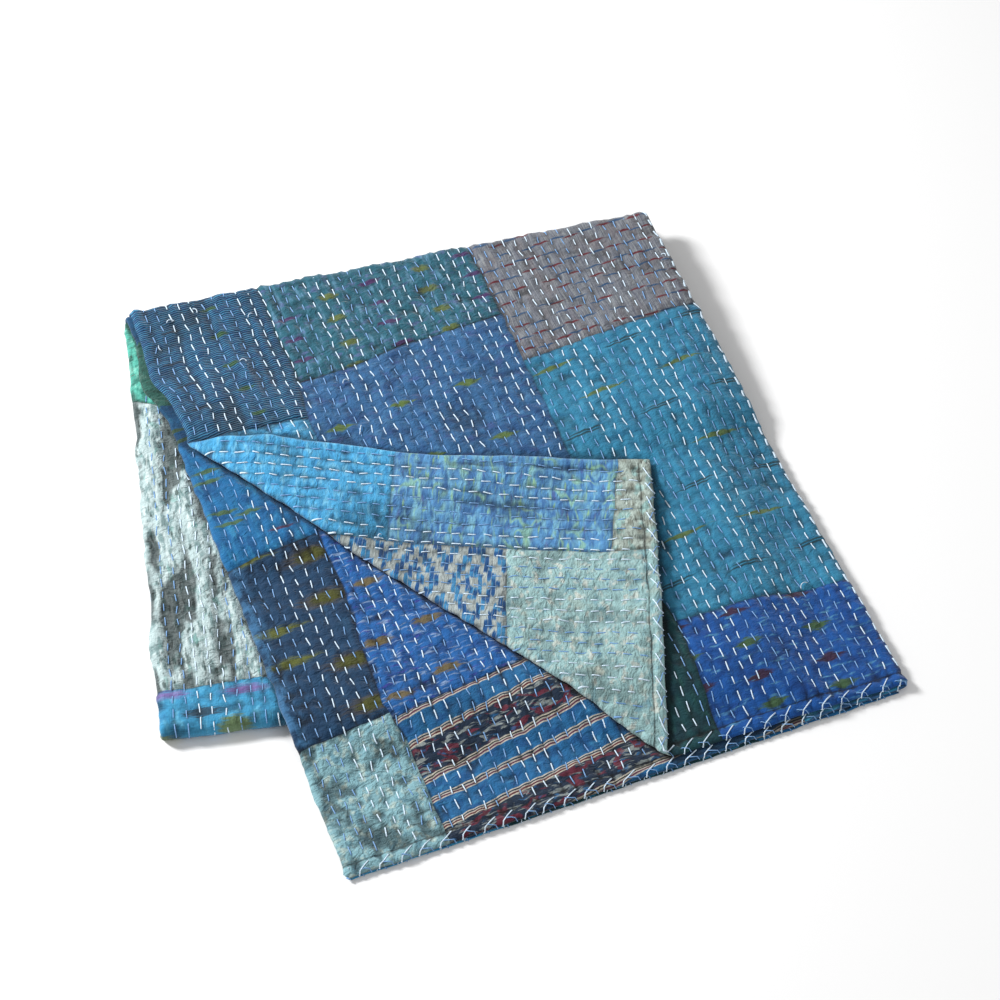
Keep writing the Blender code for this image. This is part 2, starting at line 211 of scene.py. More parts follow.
def shown(face, u, v, margin=0.006):
    """1 where a face of the sheet is in sight, 0 where another layer lies on it."""
    third, strip = on_strip(u, v)
    beyond = (strip - CORNER_A) @ CORNER_NORMAL
    past_back = past(strip, BACK_POINT, BACK_SLANT)
    top = smooth((SLAB_BEND - past_back) / margin)
    if face == 0:
        over = mirror(strip, CORNER_A, CORNER_NORMAL, CORNER_RADIUS)
        hem = hem_at(over[:, 0] - SIDE_X)
        side = side_at(over[:, 1] - HEM_Y)
        outside = np.maximum(side - (over[:, 0] - SIDE_X), hem - (over[:, 1] - HEM_Y))
        flat_part = smooth((outside - 0.001) / margin) * (beyond < 0)
        return (third == 0) * top * flat_part
    corner = (third == 0) * smooth(beyond / margin)
    second = (third == 1) * top * smooth((beyond - 0.001) / margin)
    fan = (third == 2) * (past_back > 0) * smooth(((FAN_POINT - strip) @ FAN_NORMAL + 0.002) / margin)
    fan = fan * (past(strip, FRONT_POINT, 0.0) < SLAB_BEND) * smooth(past_back / margin)
    return corner + second + fan


# --- Patches: face 0 is the patched front, face 1 the reverse ---
# Corners (u, v) on the flat sheet in tenths of a millimetre. First the seams that two patches share.
UPPER_LEFT = [(-300, 3685), (330, 3683), (500, 3656), (858, 3640), (910, 3620)]
UPPER_MIDDLE = [(965, 4000), (1410, 4020), (1830, 4085), (2290, 4090), (2670, 4107)]
UPPER_RIGHT = [(2655, 3600), (3400, 3640), (4080, 3690), (4600, 3720)]
CORNER_LEFT = [(-300, 495), (670, 510), (715, 515)]
CORNER_MIDDLE = [(726, 1275), (1460, 1225), (1540, 1220), (2600, 1200)]
STRIPES_TOP = [(7680, 975), (6748, 1082), (6000, 1180), (5000, 1300)]
STRIPES_END = [(7630, -200), (7628, 802)]
NAVY_FRONT = [(7684, 1022), (8349, 985), (9000, 950)]
NAVY_SIDE = [(7650, 2640), (7650, 2523), (7628, 2116), (7673, 1680), (7705, 1100)]
AZURE_BACK = [(7650, 8690), (8426, 8677), (8673, 8672), (8882, 8661), (9097, 8655), (9700, 8650)]
FRONT = [
    ("ribbed", UPPER_LEFT + [(965, 4000), (965, 4900), (980, 5600), (-300, 5600)]),
    ("sky", UPPER_LEFT + [(915, 3420), (900, 1200), (-300, 1200)]),
    ("plum", UPPER_MIDDLE + [(2680, 4770), (2680, 5600), (980, 5600), (965, 4900)]),
    ("denim", UPPER_MIDDLE + [(2655, 3600), (2630, 2670), (2720, 1600), (2760, 1250), (900, 1200), (915, 3420),
        (910, 3620)]),
    ("taupe", UPPER_RIGHT + [(4600, 5600), (2680, 5600), (2680, 4770), (2670, 4107)]),
    ("turquoise", UPPER_RIGHT + [(4600, 950), (4140, 956), (2790, 980), (2760, 1250), (2720, 1600),
        (2630, 2670)]),
    ("royal", [(2790, 980), (4140, 956), (4600, 950), (4600, -200), (2720, -200), (2745, 345)]),
    ("bottle", [(900, 1200), (2760, 1250), (2790, 980), (2745, 345), (2720, -200), (900, -200)]),
]
REVERSE = [
    ("sky", [(-300, 2165), (676, 2144), (720, 2138), (730, 4200), (-300, 4200)]),
    ("periwinkle", CORNER_LEFT + [(726, 1275), (720, 2138), (676, 2144), (-300, 2165)]),
    ("greige", CORNER_LEFT + [(710, -200), (-300, -200)]),
    ("mint", [(710, -200), (715, 515)] + CORNER_MIDDLE + [(2600, -200)]),
    ("diamond", CORNER_MIDDLE + [(2600, 3000), (730, 3200), (720, 2138)]),
    ("cobalt", [(7650, 4200)] + NAVY_SIDE + STRIPES_TOP + [(5000, 4200)]),
    ("striped", STRIPES_TOP + [(5000, -200)] + STRIPES_END),
    ("seafoam", [(7680, 975)] + NAVY_FRONT + [(9000, -200)] + STRIPES_END),
    ("navy", NAVY_FRONT + [(9000, 2500), (8349, 2562), (8118, 2605)] + NAVY_SIDE),
    ("fern", [(8100, 4360), (9000, 4300), (9000, 4860), (8100, 4860)]),
    ("bright", [(7650, 2640), (8118, 2605), (8349, 2562), (9000, 2500), (9000, 4120), (8349, 4190),
        (7650, 4200)]),
    ("fern", [(7650, 4200), (8349, 4190), (9000, 4120), (9700, 4050), (9700, 6170), (8541, 6120), (8382, 6037),
        (7650, 6000)]),
    ("bright", [(7650, 4860), (8620, 4860), (8620, 5220), (7650, 5220)]),
    ("blotched", [(7650, 6000), (8382, 6037), (8541, 6120), (9700, 6170)] + AZURE_BACK[::-1]),
    ("azure", AZURE_BACK + [(9700, 10600), (7650, 10600)]),
]
PATCHES = [[(name, [(u / 10000, v / 10000) for u, v in corners]) for name, corners in charted]
           for charted in (FRONT, REVERSE)]
PLAIN = ["navy", "turquoise", "denim", "bright", "bottle", "azure"]     # elsewhere, in pieces of this size
PLAIN_WIDTH, PLAIN_LENGTH = 0.19, 0.24
CLOTHS = sorted({name for patches in PATCHES for name, _ in patches})


def edges(corners):
    """The pairs of neighbouring corners, round to the first again."""
    return zip(corners, corners[1:] + corners[:1])


def inside(u, v, corners):
    """Which points lie in a polygon."""
    hit = np.zeros(len(u), bool)
    for (u0, v0), (u1, v1) in edges(corners):
        if v0 != v1:
            hit ^= ((v0 > v) != (v1 > v)) & (u < u0 + (v - v0) * (u1 - u0) / (v1 - v0))
    return hit


def cloth_at(face, u, v):
    """Index in CLOTHS of the cloth at each point of a face."""
    block = np.floor(u / PLAIN_WIDTH).astype(int) * 5 + np.floor(v / PLAIN_LENGTH).astype(int) * 3 + face
    plain = np.array([CLOTHS.index(name) for name in PLAIN])
    found = plain[block % len(PLAIN)]
    for name, corners in PATCHES[face]:
        found[inside(u, v, corners)] = CLOTHS.index(name)
    return found


SEAM_STEP, SEAM_CLEAR = 0.0024, 0.0009     # length of a link along a seam, and what is kept free beside it
SEAMS = [[pair for _, corners in patches for pair in edges(corners)] for patches in PATCHES]


def from_seam(face, u, v):
    """Distance to the nearest seam."""
    near = np.full(len(u), 1.0)
    for (u0, v0), (u1, v1) in SEAMS[face]:
        du, dv = u1 - u0, v1 - v0
        along = np.clip(((u - u0) * du + (v - v0) * dv) / (du * du + dv * dv), 0, 1)
        near = np.minimum(near, np.hypot(u - u0 - along * du, v - v0 - along * dv))
    return near


# --- Relief of the quilted cloth ---
# Height of the puffs between rows, crinkle and its size, and lengthwise wrinkles, in mm.
SURFACE = {
    "ribbed": (1.35, 0.4, 9, 0.9), "seafoam": (1.15, 2.2, 9, 0.0), "mint": (1.1, 2.0, 10, 0.1),
    "blotched": (1.25, 1.1, 8, 2.6), "cobalt": (1.9, 0.9, 10, 0.1), "diamond": (1.2, 0.7, 9, 0.1),
    "striped": (1.7, 1.1, 11, 0.0), "greige": (1.3, 1.3, 8, 0.1), "azure": (1.35, 0.9, 9, 0.1),
    "sky": (1.2, 0.75, 12, 0.1), "periwinkle": (1.3, 0.8, 12, 0.1), "plum": (1.8, 1.0, 9, 0.1),
}
USUAL_SURFACE = (1.6, 0.85, 11, 0.15)
STITCH_STEP = 0.0113     # from one running stitch to the next
HEM_RIDGE, HEM_LINE = 0.0032, 0.0088     # how far in the hem stands up, and where it is stitched down
ROW_STARTS = np.random.default_rng(5).uniform(0, 1, 160)

# Creases placed on each face, in mm on the flat sheet: start, end, half width and height.
CREASES = (
    [(286, 258, 318, 214, 7, -1.6), (284, 226, 306, 190, 6, -1.4), (283, 190, 300, 150, 6, -1.3),
     (302, 250, 330, 222, 6, 1.0), (298, 206, 318, 170, 6, 1.0), (176, 338, 226, 316, 9, -1.4),
     (140, 352, 196, 330, 8, 1.1), (38.5, 470, 34, 408, 2.6, 1.5), (57, 466, 60, 402, 2.8, 1.7),
     (62, 446, 64.5, 400, 2.4, 1.4), (47, 478, 45, 410, 3.0, -0.8), (84, 480, 82, 420, 3, 0.8)],
    [(826, 92, 790, 62, 4, 1.3), (828, 78, 800, 50, 4, -1.1), (826, 60, 806, 30, 4, 1.1),
     (832, 20, 790, 14, 4, -1.0), (826, 380, 800, 300, 6, 0.9), (770, 300, 790, 240, 7, -0.8),
     (110, 34, 150, 90, 9, -1.2), (130, 20, 176, 66, 8, 1.0), (90, 60, 110, 110, 8, 0.9),
     (30, 180, 34, 90, 6, -0.6), (44, 200, 46, 120, 6, 0.6)],
)


def wander(u, v):
    """Rows of stitches aren't quite straight."""
    return 0.0009 * noise(u / 0.05, v / 0.06, 7)


def relief(face, u, v):
    """How far a face stands out from the flat sheet's own face, in metres."""
    cloth = cloth_at(face, u, v)
    table = np.array([SURFACE.get(name, USUAL_SURFACE) for name in CLOTHS])[cloth]
    row, crinkle, size, wrinkle = table.T
    across = (u - ROW_FIRST - wander(u, v)) / ROW_PITCH
    nearest = np.floor(across)
    part = across - nearest

    def held(index):
        turn = v / STITCH_STEP - ROW_STARTS[(index.astype(int) + 1) % 160] - 0.5 * face
        return 0.5 - 0.5 * np.cos(2 * math.pi * turn)

    base = 0.3 * (held(nearest) * (1 - part) + held(nearest + 1) * part)
    swell = np.sin(math.pi * part) ** 0.75
    pucker = noise(nearest * 3.7, v / 0.0062, 2) * 0.22 + noise(u / 0.024, v / 0.0052, 9) * 0.36
    puff = base + swell * (0.72 + 0.3 * noise(u / 0.03, v / 0.04, 1) + pucker)
    bumps = (noise(u * 1000 / size, v * 1000 / size, 3) + 0.6 * noise(u * 2100 / size, v * 2100 / size, 4)
             + 0.35 * noise(u * 3900 / size, v * 3600 / size, 10))
    folds = noise(u / 0.006, v / 0.045, 5) + 0.5 * noise(u / 0.011, v / 0.03, 6)
    height = row * puff + crinkle * bumps * 0.55 + wrinkle * folds
    for u0, v0, u1, v1, width, rise in CREASES[face]:
        du, dv, du_here, dv_here = u1 - u0, v1 - v0, u * 1000 - u0, v * 1000 - v0
        along = (du_here * du + dv_here * dv) / (du * du + dv * dv)
        off = np.abs(du_here * dv - dv_here * du) / math.hypot(du, dv)
        off = off + 4.0 * noise(u / 0.03, v / 0.03, 11) * (off > 0)
        height = height + rise * np.exp(-(off / width) ** 2) * smooth(along * 3) * smooth((1 - along) * 3)
    seam = from_seam(face, u, v)
    height = height * (1 - 0.6 * np.exp(-(seam / 0.002) ** 2)) - 0.35 * np.exp(-(seam / 0.0013) ** 2)
    gap = edge_gap(u, v)
    height = height * smooth(gap / 0.004 + 0.25) + 0.75 * np.exp(-((gap - HEM_RIDGE) / 0.0026) ** 2)
    height = height - 0.8 * np.exp(-((gap - HEM_LINE) / 0.0013) ** 2) * (v < 0.2)
    return np.where(height < 0, 0.35 * np.tanh(height / 0.35), height) / 1000


def face_height(face, u, v):
    """Distance from the middle of the sheet to a face, with what shows of its relief."""
    open_part = shown(face, u, v)
    return CLOTH / 2 + relief(face, u, v) * np.clip(open_part, 0.12, 1.0) - 0.0001 * (open_part < 0.5)


# --- Mesh of the cloth ---
def outline():
    """Points round the edge of the sheet, about 3 mm apart where it shows."""
    corners = [tuple(p) for p in HEM] + [(SHEET_WIDTH, SHEET_LENGTH), (0.0, SHEET_LENGTH)]
    corners += [(drawn, along) for along, drawn in SIDE_EDGE[-2::-1]]
    corners = corners[:-1]
    points = []
    for (u0, v0), (u1, v1) in edges(corners):
        length = math.hypot(u1 - u0, v1 - v0)
        step = 0.003 if max(v0, v1) < 0.6 else 0.012
        count = max(1, round(length / step))
        points += [(u0 + (u1 - u0) * k / count, v0 + (v1 - v0) * k / count) for k in range(count)]
    return points


def edge_gap(u, v):
    """Distance inwards from the edge of the sheet."""
    return np.minimum(np.minimum(v - hem_at(u), u - side_at(v)), np.minimum(SHEET_WIDTH - u, SHEET_LENGTH - v))


FINE_U, FINE_V = ROW_PITCH / 5, 0.0027     # spacing of points where the cloth shows
BENDS = ((BACK_POINT, BACK_SLANT, 0.0036), (FRONT_POINT, 0.0, 0.008), (INNER_POINT, -BACK_SLANT, 0.012))
THIRD_LINES = [start + THIRD_BEND * np.arange(6) / 5 for start in (U_FIRST, U_SECOND)]
CLEAR = 0.0006     # kept free beside the lines of a fold


def face_points(face):
    """Points of one face: close together where it shows, along the folds in lines."""
    count_u, count_v = int(1.28 / FINE_U), int(1.53 / FINE_V)
    i, j = np.meshgrid(np.arange(-12, count_u), np.arange(-2, count_v), indexing="ij")
    i, j = i.ravel(), j.ravel()
    field = np.column_stack([ROW_FIRST + i * FINE_U, (j + 0.5 * (i % 2)) * FINE_V])
    keep = (shown(face, *field.T) > 0.01) | ((i % 12 == 0) & (j % 8 == 0))
    for at, slant, _ in BENDS:
        beyond = past(on_strip(*field.T)[1], at, slant)
        keep |= (np.abs(beyond - SLAB_BEND / 2) < 0.011) & (i % 4 == 0) & (j % 2 == 0)
    field = field[keep]
    for lines in THIRD_LINES:
        field = field[(field[:, 0] < lines[0] - CLEAR) | (field[:, 0] > lines[-1] + CLEAR)]
    corner = (field - [CORNER_A[0] - SIDE_X, CORNER_A[1] - HEM_Y]) @ CORNER_NORMAL
    field = field[(corner <= -0.0005) | (corner >= CORNER_BEND + 0.0005) | (field[:, 0] >= U_FIRST)]
    for at, slant, _ in BENDS:
        beyond = past(on_strip(*field.T)[1], at, slant)
        field = field[(beyond < -CLEAR) | (beyond > SLAB_BEND + CLEAR)]
    points = [field]
    for lines, until in zip(THIRD_LINES, (0.52, 0.925)):
        v = np.concatenate([np.arange(0.001, until, 0.0032), np.arange(until + 0.01, SHEET_LENGTH, 0.012)])
        points += [np.column_stack([np.full(len(v), u), v]) for u in lines]
    run = np.arange(-0.01, 0.46, 0.0022)
    for k in range(8):
        at = CORNER_A + CORNER_NORMAL * CORNER_BEND * k / 7 - [SIDE_X, HEM_Y]
        points.append(at + np.outer(run, CORNER_RUN))
    for at, slant, step in BENDS:
        u = np.arange(0.0, SHEET_WIDTH, step)
        for lines in THIRD_LINES:
            u = np.concatenate([u[np.abs(u - lines[0] - THIRD_BEND / 2) > 0.003], lines])
        _, strip = on_strip(u, np.zeros(len(u)))
        for k in range(8):
            v = at[1] - HEM_Y + math.tan(slant) * strip[:, 0] + SLAB_BEND * k / 7 / math.cos(slant)
            points.append(np.column_stack([u, v]))
    points = np.vstack(points)
    return points[edge_gap(*points.T) > 0.0012]


def seam_links(face):
    """Seams where they show, in short links between points on them."""
    points, links = [], []
    for start, end in SEAMS[face]:
        start, end = np.array(start), np.array(end)
        count = max(1, round(float(np.hypot(*(end - start))) / SEAM_STEP))
        line = start + (end - start) * np.linspace(0, 1, count + 1)[:, None]
        seen = (shown(face, *line.T) > 0.01) & (edge_gap(*line.T) > SEAM_CLEAR)
        for k in range(count):
            if seen[k] and seen[k + 1]:
                links.append((len(points), len(points) + 1))
                points += [line[k].tolist(), line[k + 1].tolist()]
    return points, links


def face_mesh(face, rim):
    """Flat triangles of one face. The rim's points come first, in order."""
    seam_points, links = seam_links(face)
    field = face_points(face)
    field = field[(shown(face, *field.T) < 0.01) | (from_seam(face, *field.T) > SEAM_CLEAR)]
    points = [Vector(p) for p in [*rim, *field.tolist(), *seam_points]]
    links = [(a + len(rim) + len(field), b + len(rim) + len(field)) for a, b in links]
    flat, _, faces, origins, _, owners = delaunay_2d_cdt(points, links, [list(range(len(rim)))], 1, 3e-5)
    faces = np.array([f for f, owner in zip(faces, owners) if owner])
    order = np.full(len(flat), -1)
    for index, sources in enumerate(origins):
        for source in sources:
            if source < len(rim):
                order[index] = source
    free = np.flatnonzero(order < 0)
    order[free] = len(rim) + np.arange(len(free))
    place = np.empty((len(flat), 2))
    place[order] = [p[:] for p in flat]
    return place, order[faces]


RIM_DROP, RIM_BULGE = 0.0003, 0.0005     # the rounding of the sheet's edge


def quilt_cloth():
    """Points, places on the flat sheet, triangles, their cloths and the relief: both faces and the rim."""
    rim = outline()
    count = len(rim)
    tris, cloths, points, flats, rises = [], [], [], [], []
    for face in (0, 1):
        place, faces = face_mesh(face, rim)
        cloths.append(cloth_at(face, *place[faces].mean(axis=1).T))
        tris.append(faces if face == 0 else faces[:, ::-1] + len(points[0]))
        u, v = place.T
        height = face_height(face, u, v)
        height[:count] = CLOTH / 2 - RIM_DROP
        points.append(fold(u, v, height if face == 0 else -height))
        flats.append(np.column_stack([u, v, np.full(len(u), face)]))
        rises.append(height - CLOTH / 2)
    edge = np.array(rim)
    ahead = np.roll(edge, -1, axis=0) - np.roll(edge, 1, axis=0)
    outward = np.column_stack([ahead[:, 1], -ahead[:, 0]]) / np.hypot(*ahead.T)[:, None]
    out = edge + outward * RIM_BULGE
    points.append(fold(*out.T, np.zeros(count)))
    flats.append(np.column_stack([edge, np.zeros(count)]))
    first, middle = len(points[0]), len(points[0]) + len(points[1])
    here = np.arange(count)
    there = np.roll(here, -1)
    band = [(there, here, here + middle), (there, here + middle, there + middle),
            (there + middle, here + middle, here + first), (there + middle, here + first, there + first)]
    band = np.vstack([np.column_stack(b) for b in band])
    inner = edge + (edge - out)
    rim_cloth = np.concatenate([cloth_at(0, *inner.T)] * 2 + [cloth_at(1, *inner.T)] * 2)
    return (np.vstack(points), np.vstack(flats), np.vstack(tris + [band]),
            np.concatenate(cloths + [rim_cloth]), np.concatenate(rises + [np.full(count, RIM_DROP)]))


def in_scene(name, data):
    """A new object, linked to the scene."""
    obj = bpy.data.objects.new(name, data)
    bpy.context.scene.collection.objects.link(obj)
    return obj


def mesh_object(name, points, faces, flats, materials, slots=None):
    """A smooth mesh that carries its place on the flat sheet for the dyes."""
    mesh = bpy.data.meshes.new(name)
    mesh.from_pydata(points.tolist(), [], faces.tolist())
    mesh.validate()
    for finish in materials:
        mesh.materials.append(finish)
    if slots is not None:
        mesh.polygons.foreach_set("material_index", np.asarray(slots, np.int32))
    mesh.polygons.foreach_set("use_smooth", np.ones(len(mesh.polygons), bool))
    mesh.attributes.new("flat", "FLOAT_VECTOR", "POINT").data.foreach_set("vector", flats.ravel())
    return in_scene(name, mesh)


# --- Dyed cottons ---
def rgb(colour):
    """An sRGB colour from 0 to 255 as the linear colour of a shader."""
    return (*[(c / 12.92 if c <= 0.04045 else ((c + 0.055) / 1.055) ** 2.4)
              for c in (part / 255 for part in colour)], 1.0)


def feed(node, **values):
    """Sets a node's sockets by name, with _ for a space."""
    for name, value in values.items():
        node.inputs[name.replace("_", " ")].default_value = value
    return node


class Dye:
    """One cloth, built up from layers of colour in the sheet's own millimetres (u, v)."""

    def __init__(self, name, base, wash=(1.0, 1.0, 1.0), rough=0.82, sheen=0.25):
        self.finish = bpy.data.materials.new(name)
        self.finish.use_nodes = True
        self.tree = self.finish.node_tree
        self.shader = feed(self.tree.nodes["Principled BSDF"], Roughness=rough, Specular_IOR_Level=0.25,
                           Sheen_Weight=sheen, Sheen_Roughness=0.45)
        self.place = self.vector("MULTIPLY", self.attribute("flat", "Vector"), (1000.0, 1000.0, 1000.0))
        self.colour = rgb(base)
        self.wash = wash
        self.height = None

    def link(self, value, socket):
        if isinstance(value, bpy.types.NodeSocket):
            self.tree.links.new(value, socket)
        else:
            socket.default_value = value

    def node(self, kind, *values, **settings):
        """A new node: values go to its first sockets, settings are its own."""
        node = self.tree.nodes.new("ShaderNode" + kind)
        for name, setting in settings.items():
            setattr(node, name, setting)
        for value, socket in zip(values, node.inputs):
            self.link(value, socket)
        return node

    def attribute(self, name, output="Fac"):
        return self.node("Attribute", attribute_name=name).outputs[output]

    def vector(self, operation, a, b):
        return self.node("VectorMath", a, b, operation=operation).outputs["Vector"]

    def math(self, operation, a, b=0.0):
        return self.node("Math", a, b, operation=operation).outputs[0]

    def times(self, a, b):
        return self.math("MULTIPLY", a, b)

    def plus(self, a, b):
        return self.math("ADD", a, b)

    def minus(self, a, b):
        return self.math("SUBTRACT", a, b)

    def wave(self, value, period):
        return self.math("SINE", self.times(value, 2 * math.pi / period))

    def off(self, value, middle):
        return self.math("ABSOLUTE", self.minus(value, middle))

    def swing(self, noise, amount):
        """A noise from 0 to 1, moved to swing about zero."""
        return self.times(self.minus(noise, 0.5), amount)

    def axis(self, index, place=None):
        return self.node("SeparateXYZ", self.place if place is None else place).outputs[index]

    def step(self, value, start, end):
        """0 before start, 1 past end, smooth between them; a start above the end turns it round."""
        node = self.node("MapRange", value, start, end, 0.0, 1.0, interpolation_type="SMOOTHSTEP")
        return node.outputs["Result"]

    def noise(self, size_u, size_v, seed, detail=2.0, rough=0.5, warp=0.0):
        place = self.vector("MULTIPLY", self.place, (1 / size_u, 1 / size_v, 0.01))
        node = self.node("TexNoise", self.vector("ADD", place, (seed * 7.3, seed * 3.1, seed)))
        return feed(node, Scale=1.0, Detail=detail, Roughness=rough, Distortion=warp).outputs["Fac"]

    def blots(self, size_u, size_v, low, high, seed, detail=3.0, warp=0.0):
        """Blots of a size in mm, where a noise passes from low to high."""
        return self.step(self.noise(size_u, size_v, seed, detail, warp=warp), low, high)

    def frayed(self, reach, fray, ragged, feather):
        """1 near a centre and 0 beyond a reach of 1, with a ragged rim."""
        reach = self.plus(reach, self.times(fray, ragged * 2))
        return self.step(reach, 1 + ragged + feather, 1 + ragged - feather)

    def marks(self, half, keep, seed, shift=0.0):
        """Soft oval marks in staggered rows, some of them left out."""
        cell, ragged, feather = (25, 12.5), 0.4, 0.3
        cells = self.vector("DIVIDE", self.vector("ADD", self.place, (shift, 0.0, 0.0)), (*cell, 1.0))
        stagger = self.node("CombineXYZ", self.times(self.math("FLOOR", self.axis(1, cells)), 0.5))
        cells = self.vector("ADD", cells, stagger.outputs[0])
        corner = self.vector("FLOOR", cells, (0, 0, 0))
        random = self.node("TexWhiteNoise", self.vector("ADD", corner, (seed, seed * 2, seed)),
                           noise_dimensions="3D")
        away = self.vector("SUBTRACT", self.vector("SUBTRACT", cells, corner), (0.5, 0.5, 0.0))
        moved = self.vector("MULTIPLY", self.vector("SUBTRACT", random.outputs["Color"], (0.5, 0.5, 0.5)),
                            (0.3, 0.3, 0.0))
        scale = (cell[0] / half[0], cell[1] / half[1], 0.0)
        local = self.vector("MULTIPLY", self.vector("ADD", away, moved), scale)
        length = self.node("VectorMath", local, operation="LENGTH").outputs["Value"]
        fray = self.noise(half[0] * 0.9, min(half[1], 2.2) * 0.5, seed + 5, detail=1.0)
        kept = self.math("LESS_THAN", random.outputs["Value"], keep)
        return self.times(self.frayed(length, fray, ragged, feather), kept)

    def placed(self, centres, half, ragged=0.5, seed=0.0, leaf=False, feather=0.3, lean=0.0):
        """Soft marks at charted places (mm), round or with pointed ends."""
        spot = self.node("CombineXYZ", self.axis(0), self.minus(self.axis(1), self.times(self.axis(0), lean)))
        place = self.vector("MULTIPLY", spot.outputs[0], (1 / half[0], 1 / half[1], 0.0))
        nearest = None
        for u, v in centres:
            away = self.vector("SUBTRACT", place, (u / half[0], (v - lean * u) / half[1], 0.0))
            reach = self.node("VectorMath", self.vector("ABSOLUTE", away, (0, 0, 0)), (1.0, 1.0, 0.0),
                              operation="DOT_PRODUCT" if leaf else "LENGTH").outputs["Value"]
            nearest = reach if nearest is None else self.math("MINIMUM", nearest, reach)
        fray = self.noise(half[0] * 0.7, min(half[1], 2.4) * 0.45, seed + 5)
        return self.frayed(nearest, fray, ragged, feather)

    def lay(self, colour, strength, amount):
        """Lays a colour over what is there."""
        node = self.node("Mix", self.times(amount, strength), data_type="RGBA")
        self.link(self.colour, node.inputs[6])
        self.link(rgb(colour), node.inputs[7])
        self.colour = node.outputs[2]

    def cloud(self, colour, strength, *size, **more):
        self.lay(colour, strength, self.blots(*size, **more))

    def spots(self, colour, strength, *where, **more):
        self.lay(colour, strength, self.placed(*where, **more))

    def raise_by(self, value, amount):
        value = self.times(value, amount)
        self.height = value if self.height is None else self.plus(self.height, value)

    def done(self, fine=1.0, hollow_shade=0.6, weave=0.22, thread=0.55, slub=7.0, wear=0.15):
        """Adds the weave both ways, uneven dye and fibre, painted shade in the relief's dips and the hem's
        groove, a painted highlight on the rim, and closes the cloth.
        """
        warp = self.noise(thread, slub, 31, rough=0.6)
        weft = self.noise(slub, thread, 32, rough=0.6)
        tone = self.plus(self.swing(warp, weave * 2.2), self.swing(weft, weave * 2.2))
        tone = self.plus(tone, self.swing(self.noise(14, 18, 33, detail=3.0, rough=0.6), wear * 3))
        if hollow_shade:
            hem = self.attribute("hem")
            for value, amount in (
                    # painted shade where the relief dips, and a faint painted highlight on its puffs
                    (self.minus(self.step(self.attribute("rise"), -0.2, 1.1), 0.72), hollow_shade),
                    (self.step(self.off(hem, HEM_LINE * 1000), 0.9, 0.2), -0.45),     # painted shade in the groove where it is stitched down
                    (self.step(hem, 2.2, 0.2), 0.5)):                                 # painted highlight along the sheet's rim
                tone = self.plus(tone, self.times(value, amount))
        tone = self.math("MAXIMUM", self.plus(self.times(tone, 1.35), 1.0), 0.24)
        plain = self.colour if isinstance(self.colour, bpy.types.NodeSocket) else self.colour[:3]
        scale = self.node("VectorMath", plain, operation="SCALE")
        self.link(tone, scale.inputs["Scale"])
        washed = self.vector("MULTIPLY", scale.outputs["Vector"], self.wash)
        self.link(washed, self.shader.inputs["Base Color"])
        self.raise_by(self.plus(warp, weft), 0.55)
        self.raise_by(self.noise(3.2, 3.6, 35, detail=3.0, rough=0.62), 1.6 * fine)
        self.raise_by(self.off(self.noise(9, 6, 36, warp=0.5), 0.5), -4.5 * fine)
        bump = feed(self.node("Bump"), Strength=0.75, Distance=0.0006)
        self.link(self.height, bump.inputs["Height"])
        self.link(bump.outputs["Normal"], self.shader.inputs["Normal"])
        return self.finish


def ribbed(dye):
    v = dye.plus(dye.axis(1), dye.times(dye.noise(9, 14, 1), 3.0))
    ribs = dye.wave(v, 1.9)
    broken = dye.blots(13, 1.5, 0.4, 0.56, 2, 2)
    # Painted shade between the ribs and a painted highlight, broken in places, on their tops; the ribs' relief
    # is the bump below.
    dye.lay((14, 46, 80), 0.85, dye.step(ribs, 0.0, 0.9))
    dye.lay((104, 176, 196), 0.85, dye.times(dye.step(ribs, -0.1, -0.9), broken))
    dye.cloud((30, 78, 92), 0.5, 30, 60, 0.45, 0.7, 3, 2)
    dye.spots((92, 112, 40), 0.85, [(55.5, 498), (54.5, 468.5), (54.5, 436), (56.7, 407.4), (57.8, 379.4)],
            (6.5, 2.0), 0.7)
    dye.spots((14, 34, 54), 0.8, [(22, 486), (17, 453.6), (18.5, 427), (19.2, 399.7)], (8, 1.3))
    dye.raise_by(ribs, -0.7)


def sky(dye):
    dye.cloud((122, 204, 232), 0.6, 12, 4.5, 0.48, 0.7, 1)
    dye.cloud((28, 112, 170), 0.6, 14, 4.0, 0.5, 0.7, 2)
    dye.cloud((36, 128, 182), 0.45, 5, 30, 0.55, 0.72, 3, 2)
    dye.spots((30, 70, 100), 0.6, [(9, 352), (60, 256)], (3.5, 1.6))


def plum(dye):
    dye.cloud((120, 176, 188), 0.6, 4.0, 16, 0.5, 0.7, 1, 4)
    dye.cloud((104, 118, 160), 0.6, 10, 5, 0.54, 0.7, 2)
    dye.cloud((16, 78, 84), 0.65, 14, 9, 0.5, 0.66, 3)
    dye.spots((84, 40, 92), 0.85, [(108, 443), (107, 421.5), (104, 399), (108, 465), (182.6, 456.3),
            (181, 479.4), (185.4, 410.7), (183, 434), (261.8, 458), (259.6, 409), (260.5, 433), (260, 480)],
            (8.5, 2.0), 0.9, 2)
    dye.spots((108, 124, 40), 0.85, [(147, 425.6), (145.8, 453), (145.8, 476.2), (145, 402), (225.5, 432.7),
            (222.7, 456.3), (224.4, 478.4), (224.4, 410.7)], (7.5, 3.2), 0.9, 3)


def denim(dye):
    dye.cloud((96, 148, 196), 0.6, 9, 6, 0.52, 0.72, 1, 4)
    dye.cloud((28, 66, 120), 0.65, 16, 12, 0.48, 0.68, 2)
    dye.cloud((80, 84, 152), 0.45, 14, 7, 0.56, 0.72, 3, 2)
    dye.spots((102, 120, 36), 0.9, [(217.3, 354.6), (162.8, 351.9), (223.8, 296.3), (111, 345.8), (168, 297)],
            (11, 3.6), 0.7, 2, leaf=True)


